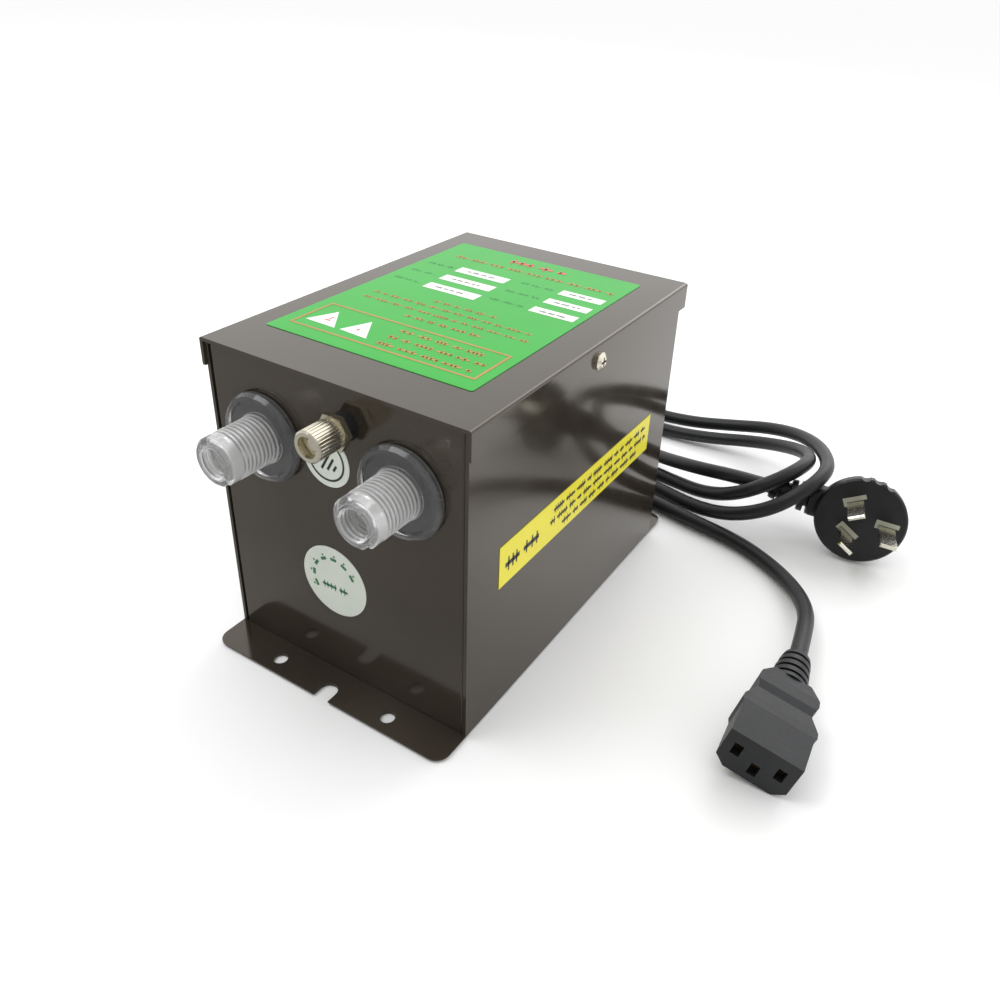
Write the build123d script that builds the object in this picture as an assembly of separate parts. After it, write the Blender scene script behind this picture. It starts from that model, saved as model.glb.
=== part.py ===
"""High-voltage supply box for static eliminator bars, with its detachable mains lead.

Millimetres.  +X is to the right of the front panel, +Y runs from front to rear, +Z is up.
The origin is the centre of the four mounting holes, on the underside of the base plate.
"""
import math
import os

from build123d import *

# ---- driving dimensions ----------------------------------------------------
SHEET = 1.2                    # steel sheet of every enclosure piece
LID_WIDTH = 100.0
LID_DEPTH = 139.0
LID_SHIFT = 0.7                # the lid overhangs the rear a little more than the front
LID_DROP = 9.3                 # depth of the lid's side flanges
HEIGHT = 111.5                 # underside of the base to the top of the lid
BODY_DEPTH = 136.0
BODY_WIDTH = LID_WIDTH - 2 * SHEET
FLANGE = 13.2                  # mounting flange past the body, front and rear
HOLE_R = 2.5
HOLE_PITCH_X = 47.0
HOLE_INSET = 7.4               # mounting hole centre to the body face
SLOT_R = 3.25
SLOT_DEPTH = 7.1
GAP = 0.2                      # clearance between formed sheets

PANEL_SETBACK = 0.3
PANEL_RETURN = 11.0            # side returns of the front and rear panels

OUTLET_X = 26.5
OUTLET_Z = 84.6
OUTLET_R = 8.0
OUTLET_REACH = 20.5            # panel face to the open end of an outlet tube
OUTLET_FLANGE_R = 14.8
OUTLET_FLANGE = 2.6
OUTLET_WASHER = 0.9
OUTLET_BORE_R = 5.2
THREAD_PITCH = 1.5
THREAD_DEPTH = 0.8

EARTH_X = 6.0
EARTH_Z = 98.4
EARTH_TRAVEL = 4.0             # how far the thumb nut backs off
STUD_R = 2.5

SIDE_SCREW_Z = 105.7
SCREW_R = 1.5

INLET_X = -20.0
INLET_Z = 56.0
SWITCH_X = 24.0
SWITCH_Z = 56.0
DRAWER_TRAVEL = 16.0
ROCKER_TILT = 11.0             # degrees each side of centre

CORD_R = 3.0
PLUG_CENTRE = (126.0, 100.1, 18.9)
PLUG_YAW = 12.4                # degrees, plug about the vertical
PLUG_PITCH = 10.5              # degrees, plug face tipped up
PLUG_ROLL = -5.4               # degrees, plug turned in the plane of its face
PLUG_R = 18.1
CONNECTOR_NOSE = (130.7, -35.0, 10.0)
CONNECTOR_YAW = 3.8            # degrees, connector about the vertical
CONNECTOR_PITCH = 2.2          # degrees, cord end raised
CONNECTOR_ROLL = -14.0         # degrees, connector about its own axis
CONNECTOR_LENGTH = 49.5

# ---- sizes that follow -----------------------------------------------------
WALL_X = BODY_WIDTH / 2
INNER_X = WALL_X - SHEET
BODY_Y = BODY_DEPTH / 2
LID_UNDER = HEIGHT - SHEET
WALL_TOP = LID_UNDER - GAP
PANEL_Y = BODY_Y - PANEL_SETBACK
HOLE_Y = BODY_Y + HOLE_INSET

os.makedirs("parts", exist_ok=True)


# ---- helpers ---------------------------------------------------------------
def save(shape, name):
    """Write one named sub-part."""
    export_step(shape, f"parts/{name}.step")


def block(x0, x1, y0, y1, z0, z1):
    """Box between two corners."""
    centre = Pos((x0 + x1) / 2, (y0 + y1) / 2, (z0 + z1) / 2)
    return centre * Box(abs(x1 - x0), abs(y1 - y0), abs(z1 - z0))


def rod_x(radius, x0, x1, y, z):
    """Cylinder along X."""
    return Pos((x0 + x1) / 2, y, z) * Rot(0, 90, 0) * Cylinder(radius, abs(x1 - x0))


def rod_y(radius, y0, y1, x, z):
    """Cylinder along Y."""
    return Pos(x, (y0 + y1) / 2, z) * Rot(90, 0, 0) * Cylinder(radius, abs(y1 - y0))


def rod_z(radius, z0, z1, x, y):
    """Cylinder along Z."""
    return Pos(x, y, (z0 + z1) / 2) * Cylinder(radius, abs(z1 - z0))


def hex_y(across, y0, y1, x, z):
    """Hexagonal prism along Y, of the given width across flats."""
    outline = RegularPolygon(across / 2, 6, major_radius=False)
    prism = extrude(outline, abs(y1 - y0))
    return Pos(x, max(y0, y1), z) * Rot(90, 0, 0) * prism


def hex_z(across, z0, z1, x, y):
    """Hexagonal prism along Z."""
    prism = extrude(RegularPolygon(across / 2, 6, major_radius=False), abs(z1 - z0))
    return Pos(x, y, min(z0, z1)) * prism


def turned(profile, x, z, y):
    """Solid of revolution about a Y axis; profile points are (radius, distance towards -Y)."""
    points = [(radius, 0, reach) for radius, reach in profile]
    face = make_face(Polyline(*points, close=True))
    solid = revolve(face, axis=Axis.Z)
    return Pos(x, y, z) * Rot(90, 0, 0) * solid


def ribs(start, end, outer, inner, pitch):
    """Profile points of a thread drawn as rings, from start to end along the axis."""
    points = []
    count = int(round((end - start) / pitch))
    step = (end - start) / count
    for turn in range(count):
        base = start + turn * step
        points.append((inner, base))
        points.append((outer, base + 0.35 * step))
        points.append((outer, base + 0.65 * step))
    points.append((inner, end))
    return points


def wire_path(points, least):
    """Straight runs joined by arcs as large as the runs allow, and never under least."""
    corners = [Vector(*point) for point in points]
    radii = []
    for before, corner, after in zip(corners, corners[1:], corners[2:]):
        run = min((corner - before).length, (after - corner).length)
        turn = math.radians((corner - before).get_angle(after - corner))
        radii.append(max(least, 0.45 * run / math.tan(turn / 2)))
    return FilletPolyline(*points, radius=radii), radii


def tube(points, radius, least=0.5):
    """Round wire or cord along a route."""
    path, radii = wire_path(points, least)
    start = Plane(origin=path @ 0, z_dir=path % 0)
    return sweep(start * Circle(radius), path=path), path, radii


# ---- enclosure -------------------------------------------------------------
def base_outline():
    """Flat outline of the base with both mounting flanges and their open slots."""
    plate = Rectangle(BODY_WIDTH, 2 * (BODY_Y + FLANGE))
    plate = fillet(plate.vertices(), 5.0)
    for side in (-1, 1):
        tip = side * (BODY_Y + FLANGE)
        slot_end = tip - side * (SLOT_DEPTH - SLOT_R)
        plate -= Pos(0, slot_end) * Circle(SLOT_R)
        plate -= Pos(0, (slot_end + tip + side) / 2) * Rectangle(2 * SLOT_R, abs(tip + side - slot_end))
        for x in (-HOLE_PITCH_X / 2, HOLE_PITCH_X / 2):
            plate -= Pos(x, side * HOLE_Y) * Circle(HOLE_R)
    return plate


def make_chassis():
    """Base plate, its flanges and the two side walls, bent from one sheet."""
    shape = extrude(base_outline(), SHEET)
    for side in (-1, 1):
        outer = side * WALL_X
        inner = side * INNER_X
        shape += block(min(outer, inner), max(outer, inner), -BODY_Y, BODY_Y, 0, WALL_TOP)
    for x, y in BRACKET_FEET:
        shape -= rod_z(2.2, -1, SHEET + 1, x, y)
        shape -= Pos(x, y, SHEET / 2) * Cone(4.2, 2.2, SHEET + 0.02)
    shape -= rod_z(2.1, -1, SHEET + 1, *CHASSIS_STUD)
    for side in (-1, 1):
        shape -= rod_x(2.6, side * (INNER_X - 1), side * (WALL_X + 1), LID_SHIFT, SIDE_SCREW_Z)
    bends = shape.edges().filter_by(Axis.Y).filter_by_position(Axis.Z, -0.01, 0.01)
    bends = [edge for edge in bends if abs(abs(edge.center().X) - WALL_X) < 0.01 and edge.length > 120]
    return fillet(bends, 1.0)


def make_panel(side):
    """Front (-1) or rear (+1) panel: a face and two returns spot-welded inside the walls."""
    face = side * PANEL_Y
    back = side * (PANEL_Y - SHEET)
    edge = INNER_X - GAP
    foot = SHEET + GAP
    shape = block(-edge, edge, face, back, foot, WALL_TOP)
    for wall in (-1, 1):
        inner = wall * (edge - SHEET)
        shape += block(wall * edge, inner, back, side * (PANEL_Y - PANEL_RETURN), foot, WALL_TOP)
    shape += block(-edge + 14, edge - 14, back, side * (PANEL_Y - 9), WALL_TOP - SHEET, WALL_TOP)
    corners = shape.edges().filter_by(Axis.Z)
    corners = [item for item in corners if abs(abs(item.center().Y) - PANEL_Y) < 0.01]
    return fillet(corners, 0.9)


def make_front_panel():
    """Front panel with the two outlet holes and the earth terminal hole."""
    shape = make_panel(-1)
    for x in (-OUTLET_X, OUTLET_X):
        shape -= rod_y(OUTLET_R + 0.2, -BODY_Y - 1, -PANEL_Y + SHEET + 1, x, OUTLET_Z)
    shape -= rod_y(4.2, -BODY_Y - 1, -PANEL_Y + 12, EARTH_X, EARTH_Z)
    return shape


def make_rear_panel():
    """Rear panel with the cut-outs for the inlet and the switch."""
    shape = make_panel(1)
    deep = (PANEL_Y - 4, BODY_Y + 1)
    shape -= block(INLET_X - 13.8, INLET_X + 13.8, *deep, INLET_Z - 18.2, INLET_Z + 18.2)
    shape -= block(SWITCH_X - 6.7, SWITCH_X + 6.7, *deep, SWITCH_Z - 9.7, SWITCH_Z + 9.7)
    for x in INLET_SCREWS:
        shape -= rod_y(1.7, *deep, x, INLET_Z)
    return shape


def make_lid():
    """Shallow tray: a top with two side flanges outside the chassis walls."""
    front = LID_SHIFT - LID_DEPTH / 2
    rear = LID_SHIFT + LID_DEPTH / 2
    half = LID_WIDTH / 2
    shape = block(-half, half, front, rear, HEIGHT - LID_DROP, HEIGHT)
    shape -= block(-half + SHEET, half - SHEET, front - 1, rear + 1, HEIGHT - LID_DROP - 1, LID_UNDER)
    for side in (-1, 1):
        shape -= rod_x(SCREW_R + 0.15, side * (half - 2), side * (half + 1), LID_SHIFT, SIDE_SCREW_Z)
    bends = shape.edges().filter_by(Axis.Y).filter_by_position(Axis.Z, HEIGHT - 0.01, HEIGHT + 0.01)
    return fillet(bends, 0.9)


def cross_recess(depth, reach):
    """Cutter for a cross recess, opening at z = 0 and going down."""
    blade = Pos(0, 0, -depth / 2) * Box(reach, 0.75, depth)
    return blade + Rot(0, 0, 90) * blade


def make_lid_screws():
    """Two pan-head cross screws, one through the middle of each lid flange."""
    shapes = []
    for side in (-1, 1):
        seat = side * LID_WIDTH / 2
        crown = Cone(3.0, 1.7, 0.9, align=(Align.CENTER, Align.CENTER, Align.MIN))
        head = extrude(Circle(3.0), 1.0) + Pos(0, 0, 1.0) * crown
        head -= Pos(0, 0, 1.9) * cross_recess(1.2, 3.2)
        shank = Pos(0, 0, -3.6) * Cylinder(SCREW_R, 7.2)
        screw = head + shank
        shapes.append(Pos(seat, LID_SHIFT, SIDE_SCREW_Z) * Rot(0, side * 90, 0) * screw)
    return Compound(children=shapes)


def make_rivet_nuts():
    """Threaded inserts in the side walls that take the lid screws."""
    shapes = []
    for side in (-1, 1):
        nut = rod_x(2.55, side * (WALL_X - 6.6), side * WALL_X, LID_SHIFT, SIDE_SCREW_Z)
        nut += rod_x(3.6, side * (INNER_X - 1.0), side * INNER_X, LID_SHIFT, SIDE_SCREW_Z)
        nut -= rod_x(SCREW_R + 0.02, side * (WALL_X - 8), side * (WALL_X + 1), LID_SHIFT, SIDE_SCREW_Z)
        shapes.append(nut)
    return Compound(children=shapes)


# ---- high-voltage outlets --------------------------------------------------
def outlet_profile():
    """Half section of an outlet: flange, threaded spout in front, threaded spigot behind."""
    seat = OUTLET_WASHER
    face = seat + OUTLET_FLANGE
    collar = OUTLET_REACH - 4.6
    root = OUTLET_R - THREAD_DEPTH
    spigot = -15.0
    points = [(OUTLET_BORE_R - 1.6, spigot), (root, spigot)]
    points += ribs(spigot + 0.6, seat - 2.0, OUTLET_R - 0.1, root, THREAD_PITCH)
    points += [(OUTLET_R - 0.2, seat - 1.9), (OUTLET_R - 0.2, seat)]
    points += [(OUTLET_FLANGE_R, seat), (OUTLET_FLANGE_R, seat + 1.3), (OUTLET_FLANGE_R - 0.9, face)]
    points += [(OUTLET_FLANGE_R - 2.2, face), (OUTLET_FLANGE_R - 2.9, face - 0.8)]
    points += [(OUTLET_R + 1.4, face - 0.8), (root, face)]
    points += ribs(face + 0.3, collar, OUTLET_R, root, THREAD_PITCH)
    points += [(OUTLET_R - 0.1, collar + 0.3), (OUTLET_R - 0.1, OUTLET_REACH - 0.7)]
    points += [(OUTLET_R - 0.8, OUTLET_REACH), (OUTLET_BORE_R + 0.6, OUTLET_REACH)]
    points += [(OUTLET_BORE_R, OUTLET_REACH - 1.1), (OUTLET_BORE_R, 2.8), (OUTLET_BORE_R - 1.6, 2.2)]
    return points


def make_outlet(x):
    """Clear threaded outlet with two notches across its open end."""
    shape = turned(outlet_profile(), x, OUTLET_Z, -PANEL_Y)
    tip = -PANEL_Y - OUTLET_REACH
    for side in (-1, 1):
        notch = Pos(side * (OUTLET_R - 0.7), 0, 0) * Box(2.6, 6.0, 3.2)
        shape -= Pos(x, tip, OUTLET_Z) * Rot(0, 62, 0) * notch
    return shape


def make_outlet_washers():
    """Clear sealing washers between the outlets and the panel."""
    shapes = []
    for x in (-OUTLET_X, OUTLET_X):
        ring = rod_y(OUTLET_FLANGE_R - 0.7, -PANEL_Y, -PANEL_Y - OUTLET_WASHER, x, OUTLET_Z)
        shapes.append(ring - rod_y(OUTLET_R + 0.1, -BODY_Y - 9, -BODY_Y + 9, x, OUTLET_Z))
    return Compound(children=shapes)


def make_outlet_nuts():
    """Lock nuts that clamp the outlets from inside."""
    shapes = []
    for x in (-OUTLET_X, OUTLET_X):
        back = -PANEL_Y + SHEET
        nut = hex_y(22.0, back, back + 5.0, x, OUTLET_Z)
        shapes.append(nut - rod_y(OUTLET_R + 0.02, back - 1, back + 6, x, OUTLET_Z))
    return Compound(children=shapes)


def make_outlet_contacts():
    """Brass contact cups at the root of each outlet bore, with a solder tail."""
    shapes = []
    for x in (-OUTLET_X, OUTLET_X):
        cup = rod_y(OUTLET_BORE_R - 1.62, -PANEL_Y - 2.3, -PANEL_Y + 17.0, x, OUTLET_Z)
        cup -= rod_y(1.8, -PANEL_Y - 3.0, -PANEL_Y + 1.0, x, OUTLET_Z)
        cup += rod_y(2.4, -PANEL_Y + 17.0, -PANEL_Y + 20.0, x, OUTLET_Z)
        shapes.append(cup)
    return Compound(children=shapes)


# ---- earth terminal --------------------------------------------------------
INSULATOR_FRONT = 3.4          # collar length in front of the panel
HEX_THICK = 1.9
WASHER_THICK = 0.7
NUT_LENGTH = 9.2
HEX_FACE = -PANEL_Y - INSULATOR_FRONT - HEX_THICK
WASHER_FACE = HEX_FACE - WASHER_THICK
NUT_FACE = WASHER_FACE - NUT_LENGTH


def make_earth_stud():
    """Threaded stud that passes through the insulating bush."""
    profile = [(0, -14.0), (STUD_R - 0.4, -14.0)]
    profile += ribs(-13.6, -PANEL_Y - NUT_FACE - 2.4, STUD_R, STUD_R - 0.35, 0.8)
    profile += [(STUD_R - 0.7, -PANEL_Y - NUT_FACE - 1.9), (0, -PANEL_Y - NUT_FACE - 1.9)]
    return turned(profile, EARTH_X, EARTH_Z, -PANEL_Y)


def make_earth_insulator():
    """Black bush: a collar in front of the panel and a spigot through it."""
    shape = rod_y(4.6, -PANEL_Y, -PANEL_Y - INSULATOR_FRONT, EARTH_X, EARTH_Z)
    shape += rod_y(4.1, -PANEL_Y, -PANEL_Y + SHEET + 0.6, EARTH_X, EARTH_Z)
    return shape - rod_y(STUD_R + 0.1, -BODY_Y - 9, -BODY_Y + 9, EARTH_X, EARTH_Z)


def make_earth_hex():
    """Fixed hexagonal seat nut in front of the bush."""
    back = -PANEL_Y - INSULATOR_FRONT
    nut = hex_y(10.4, HEX_FACE, back, EARTH_X, EARTH_Z)
    return nut - rod_y(STUD_R + 0.01, back + 1, HEX_FACE - 1, EARTH_X, EARTH_Z)


def make_earth_washer():
    """Loose clamping washer that travels with the thumb nut."""
    ring = rod_y(4.4, HEX_FACE, WASHER_FACE, EARTH_X, EARTH_Z)
    return ring - rod_y(STUD_R + 0.25, HEX_FACE + 1, WASHER_FACE - 1, EARTH_X, EARTH_Z)


def make_thumb_nut():
    """Knurled thumb nut, counterbored at its front so that the stud end shows."""
    teeth = 32
    outer = 4.9
    body = rod_y(outer, WASHER_FACE, NUT_FACE, EARTH_X, EARTH_Z)
    edges = body.edges().filter_by(GeomType.CIRCLE)
    body = chamfer(edges, 0.45)
    for tooth in range(teeth):
        angle = 2 * math.pi * tooth / teeth
        x = EARTH_X + (outer + 0.12) * math.cos(angle)
        z = EARTH_Z + (outer + 0.12) * math.sin(angle)
        body -= rod_y(0.36, WASHER_FACE - 0.6, NUT_FACE + 0.6, x, z)
    body -= rod_y(STUD_R + 0.06, WASHER_FACE + 1, NUT_FACE - 1, EARTH_X, EARTH_Z)
    return body - rod_y(3.3, NUT_FACE - 1, NUT_FACE + 3.0, EARTH_X, EARTH_Z)


def make_earth_inner_nut():
    """Nut that clamps the stud and its lug from inside."""
    near = -PANEL_Y + SHEET + 1.6
    nut = hex_y(8.0, near, near + 3.2, EARTH_X, EARTH_Z)
    return nut - rod_y(STUD_R + 0.01, near - 1, near + 4, EARTH_X, EARTH_Z)


def make_earth_lug():
    """Crimp lug under the inner nut."""
    near = -PANEL_Y + SHEET + 0.6
    ring = rod_y(4.6, near, near + 1.0, EARTH_X, EARTH_Z)
    ring -= rod_y(STUD_R + 0.1, near - 1, near + 2, EARTH_X, EARTH_Z)
    tail = block(EARTH_X - 1.6, EARTH_X + 1.6, near, near + 1.0, EARTH_Z - 9.5, EARTH_Z - 4.2)
    return ring + tail + rod_z(1.9, EARTH_Z - 15.0, EARTH_Z - 9.5, EARTH_X, near + 1.9)


# ---- labels ----------------------------------------------------------------
LABEL = 0.18


def make_top_label():
    """Rating label on the lid."""
    plate = Pos(-2.0, 3.2) * Rectangle(78.6, 107.0)
    plate = fillet(plate.vertices(), 1.0)
    return Pos(0, 0, HEIGHT) * extrude(plate, LABEL)


def make_side_label():
    """Long strip on the right side wall."""
    return block(WALL_X, WALL_X + LABEL, -51.7, 52.3, 49.1, 64.3)


def round_label(radius, x, z):
    """Disc-shaped sticker on the front panel."""
    return rod_y(radius, -PANEL_Y, -PANEL_Y - LABEL, x, z)


# ---- mains inlet and switch ------------------------------------------------
INLET_SCREWS = (INLET_X - 20.0, INLET_X + 20.0)
SOCKET_Z = INLET_Z - 6.4       # centre of the appliance socket
DRAWER_Z = INLET_Z + 11.3      # centre of the fuse drawer
RECESS_DEPTH = 16.5


def make_inlet_housing():
    """Appliance inlet with a fuse drawer bay above it and two screw ears."""
    flange = Rectangle(50.0, 24.0)
    flange = fillet(flange.vertices(), 6.0)
    flange += Rectangle(30.6, 40.0)
    plate = Pos(INLET_X, PANEL_Y, INLET_Z) * Rot(-90, 0, 0) * extrude(flange, 3.0)
    low, high = INLET_Z - 17.9, INLET_Z + 17.9
    shape = plate + block(INLET_X - 13.4, INLET_X + 13.4, PANEL_Y - 21.0, PANEL_Y, low, high)
    mouth = PANEL_Y + 3.0
    socket = Rectangle(24.6, 16.8)
    low = [vertex for vertex in socket.vertices() if vertex.Y > 0]
    socket = chamfer(low, 4.4)
    recess = extrude(socket, RECESS_DEPTH + 1)
    shape -= Pos(INLET_X, mouth - RECESS_DEPTH, SOCKET_Z) * Rot(-90, 0, 0) * recess
    shape -= block(INLET_X - 11.6, INLET_X + 11.6, mouth - 21.5, mouth + 1, DRAWER_Z - 4.9, DRAWER_Z + 4.9)
    for x in INLET_SCREWS:
        shape -= rod_y(1.7, PANEL_Y - 1, mouth + 1, x, INLET_Z)
    for x, z in INLET_PINS:
        shape -= block(x - 1.0, x + 1.0, PANEL_Y - 25, PANEL_Y, z - 2.0, z + 2.0)
    return shape


INLET_PINS = ((INLET_X - 7.0, SOCKET_Z + 2.0), (INLET_X + 7.0, SOCKET_Z + 2.0), (INLET_X, SOCKET_Z - 2.0))


def make_inlet_pins():
    """Three flat inlet pins with solder tails behind the housing."""
    shapes = []
    for x, z in INLET_PINS:
        pin = block(x - 1.0, x + 1.0, PANEL_Y - 27.0, PANEL_Y + 0.5, z - 2.0, z + 2.0)
        shapes.append(pin)
    return Compound(children=shapes)


def make_inlet_screws():
    """Two cross screws that hold the inlet to the rear panel."""
    shapes = []
    for x in INLET_SCREWS:
        screw = rod_y(1.5, PANEL_Y - 6.0, PANEL_Y + 3.0, x, INLET_Z)
        head = rod_y(2.8, PANEL_Y + 3.0, PANEL_Y + 4.7, x, INLET_Z)
        head -= Pos(x, PANEL_Y + 4.7, INLET_Z) * Rot(-90, 0, 0) * cross_recess(1.0, 3.0)
        shapes.append(screw + head)
    return Compound(children=shapes)


def make_inlet_nuts():
    """Nuts of the inlet screws."""
    shapes = []
    for x in INLET_SCREWS:
        nut = hex_y(5.5, PANEL_Y - SHEET, PANEL_Y - SHEET - 2.4, x, INLET_Z)
        shapes.append(nut - rod_y(1.52, PANEL_Y - SHEET, PANEL_Y - 5, x, INLET_Z))
    return Compound(children=shapes)


def make_fuse_drawer():
    """Pull-out drawer that carries the fuse."""
    mouth = PANEL_Y + 3.0
    tray = block(INLET_X - 11.3, INLET_X + 11.3, mouth - 20.5, mouth + 0.4, DRAWER_Z - 4.6, DRAWER_Z + 4.6)
    tray += block(INLET_X - 12.0, INLET_X + 12.0, mouth + 0.1, mouth + 1.4, DRAWER_Z - 5.4, DRAWER_Z + 5.4)
    tray -= block(INLET_X - 10.2, INLET_X + 10.2, mouth - 18.5, mouth - 2.0, DRAWER_Z - 3.4, DRAWER_Z + 5.0)
    lip = block(INLET_X - 4.0, INLET_X + 4.0, mouth + 1.4, mouth + 2.6, DRAWER_Z + 3.6, DRAWER_Z + 5.0)
    return tray + lip


def make_fuse():
    """Glass fuse with two end caps, lying across the drawer."""
    y = PANEL_Y - 8.0
    z = DRAWER_Z - 0.8
    glass = rod_x(2.2, INLET_X - 7.0, INLET_X + 7.0, y, z)
    caps = [rod_x(2.6, INLET_X + side * 10.0, INLET_X + side * 4.9, y, z) for side in (-1, 1)]
    return glass - caps[0] - caps[1], Compound(children=caps)


def make_switch_housing():
    """Rocker switch body with its bezel."""
    face = PANEL_Y
    shape = block(SWITCH_X - 7.5, SWITCH_X + 7.5, face, face + 2.0, SWITCH_Z - 10.5, SWITCH_Z + 10.5)
    shape += block(SWITCH_X - 6.5, SWITCH_X + 6.5, face - 15.0, face, SWITCH_Z - 9.5, SWITCH_Z + 9.5)
    shape -= block(SWITCH_X - 5.4, SWITCH_X + 5.4, face - 7.5, face + 3, SWITCH_Z - 8.4, SWITCH_Z + 8.4)
    for side in (-1, 1):
        shape -= rod_x(1.05, SWITCH_X + side * 5.0, SWITCH_X + side * 6.6, face - 1.2, SWITCH_Z)
    return shape


def make_rocker():
    """Rocker on its two trunnions, resting tipped to the off side."""
    y = PANEL_Y - 1.2
    outline = [(-6.8, -3.0), (6.8, -3.0), (7.5, 3.0), (0, 1.9), (-7.5, 3.0)]
    face = make_face(Polyline(*[(0, reach, rise) for rise, reach in outline], close=True))
    body = Pos(-5.1, 0, 0) * extrude(face, 10.2, dir=(1, 0, 0))
    body += rod_x(1.0, -6.2, 6.2, 0, 0)
    for mark in (-4.6, 4.6):
        body -= Pos(0, 3.0, mark) * Rot(90, 0, 0) * Cylinder(0.9, 0.8)
    return Pos(SWITCH_X, y, SWITCH_Z) * Rot(-ROCKER_TILT, 0, 0) * body


def make_switch_terminals():
    """Two push-on tabs at the back of the switch."""
    back = PANEL_Y - 15.0
    tabs = []
    for z in (SWITCH_Z - 4.5, SWITCH_Z + 4.5):
        tab = block(SWITCH_X - 2.4, SWITCH_X + 2.4, back - 8.0, back, z - 0.4, z + 0.4)
        tabs.append(tab - rod_z(0.8, z - 1, z + 1, SWITCH_X, back - 5.5))
    return Compound(children=tabs)


# ---- transformer -----------------------------------------------------------
CORE_W = 76.0
CORE_H = 64.0
STACK = 38.0
LIMB = 25.4
WINDOW_W = 12.7
WINDOW_H = 38.6
CORE_Y = 0.0
CORE_BASE = 5.0
CORE_MID = CORE_BASE + CORE_H / 2
BOLT_X = CORE_W / 2 - 6.35
BOLT_Z = CORE_H / 2 - 6.35
BRACKET = 1.6
BRACKET_FEET = [(x, CORE_Y + y) for x in (-30.0, 30.0) for y in (-34.0, 34.0)]
CHASSIS_STUD = (34.0, 50.0)


def make_core():
    """Laminated shell-type core with two windows."""
    half = STACK / 2
    core = block(-CORE_W / 2, CORE_W / 2, CORE_Y - half, CORE_Y + half, CORE_BASE, CORE_BASE + CORE_H)
    for side in (-1, 1):
        near = side * LIMB / 2
        far = side * (LIMB / 2 + WINDOW_W)
        low, high = CORE_MID - WINDOW_H / 2, CORE_MID + WINDOW_H / 2
        core -= block(min(near, far), max(near, far), CORE_Y - half - 1, CORE_Y + half + 1, low, high)
    for x in (-BOLT_X, BOLT_X):
        for z in (-BOLT_Z, BOLT_Z):
            core -= rod_y(2.2, CORE_Y - half - 1, CORE_Y + half + 1, x, CORE_MID + z)
    return core


def coil_ring(inner, thick, z0, z1):
    """Rounded rectangular winding around the centre limb, at a distance inner from it."""
    wide = LIMB / 2 + inner
    deep = STACK / 2 + inner
    outer = fillet(Rectangle(2 * (wide + thick), 2 * (deep + thick)).vertices(), 3.5)
    ring = outer - Rectangle(2 * wide, 2 * deep)
    return Pos(0, CORE_Y, z0) * extrude(ring, z1 - z0)


SPLIT_Z = CORE_MID - 4.0


def make_bobbin():
    """Moulded former with three cheeks, around the centre limb."""
    low = CORE_MID - WINDOW_H / 2 + 0.15
    high = CORE_MID + WINDOW_H / 2 - 0.15
    tube_part = coil_ring(0.3, 1.2, low, high)
    cheeks = [coil_ring(0.3, 11.6, z, z + 1.2) for z in (low, SPLIT_Z - 0.6, high - 1.2)]
    return tube_part + cheeks[0] + cheeks[1] + cheeks[2]


def make_primary():
    """Mains winding in the lower section of the former."""
    return coil_ring(1.5, 8.6, CORE_MID - WINDOW_H / 2 + 1.35, SPLIT_Z - 0.6)


def make_secondary():
    """High-voltage winding, resin-cast, in the upper section of the former."""
    return coil_ring(1.5, 9.9, SPLIT_Z + 0.6, CORE_MID + WINDOW_H / 2 - 1.35)


def make_bracket():
    """Steel strap over the core with a foot at the front and one at the rear."""
    half = STACK / 2 + 0.1
    top = CORE_BASE + CORE_H + 0.1
    foot = SHEET + SHIM
    reach = half + BRACKET
    strap = block(-BOLT_X - 5, BOLT_X + 5, CORE_Y - reach, CORE_Y + reach, top, top + BRACKET)
    for side in (-1, 1):
        near = CORE_Y + side * half
        far = CORE_Y + side * (half + BRACKET)
        for x in (-BOLT_X, BOLT_X):
            strap += block(x - 5, x + 5, near, far, foot, top + BRACKET)
        strap += block(-BOLT_X - 5, BOLT_X + 5, near, CORE_Y + side * (half + 20), foot, foot + BRACKET)
    for x in (-BOLT_X, BOLT_X):
        for z in (-BOLT_Z, BOLT_Z):
            strap -= rod_y(2.2, CORE_Y - 30, CORE_Y + 30, x, CORE_MID + z)
    for x, y in BRACKET_FEET:
        strap -= rod_z(2.2, 0, 6, x, y)
    return strap


SHIM = 0.8                     # insulating sheet under the transformer


def make_insulating_sheet():
    """Pressed-board sheet between the transformer and the base."""
    sheet = block(-44.0, 44.0, -44.0, 44.0, SHEET, SHEET + SHIM)
    for x, y in BRACKET_FEET:
        sheet -= rod_z(2.3, 0, 4, x, y)
    return sheet


def make_core_bolts():
    """Four long bolts through the core and the bracket."""
    shapes = []
    reach = STACK / 2 + 0.1 + BRACKET
    for x in (-BOLT_X, BOLT_X):
        for z in (-BOLT_Z, BOLT_Z):
            height = CORE_MID + z
            bolt = rod_y(2.0, CORE_Y - reach - 3.0, CORE_Y + reach + 5.0, x, height)
            bolt += hex_y(7.0, CORE_Y - reach, CORE_Y - reach - 2.8, x, height)
            shapes.append(bolt)
    return Compound(children=shapes)


def make_core_nuts():
    """Nuts of the core bolts."""
    shapes = []
    near = CORE_Y + STACK / 2 + 0.1 + BRACKET
    for x in (-BOLT_X, BOLT_X):
        for z in (-BOLT_Z, BOLT_Z):
            nut = hex_y(7.0, near, near + 3.2, x, CORE_MID + z)
            shapes.append(nut - rod_y(2.02, near - 1, near + 4, x, CORE_MID + z))
    return Compound(children=shapes)


def make_foot_screws():
    """Four countersunk screws up through the base."""
    shapes = []
    seat = SHEET + SHIM + BRACKET
    for x, y in BRACKET_FEET:
        screw = rod_z(2.0, 0.3, seat + 5.0, x, y)
        screw += Pos(x, y, 0.65) * Cone(3.7, 2.1, 1.1)
        shapes.append(screw)
    return Compound(children=shapes)


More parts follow.
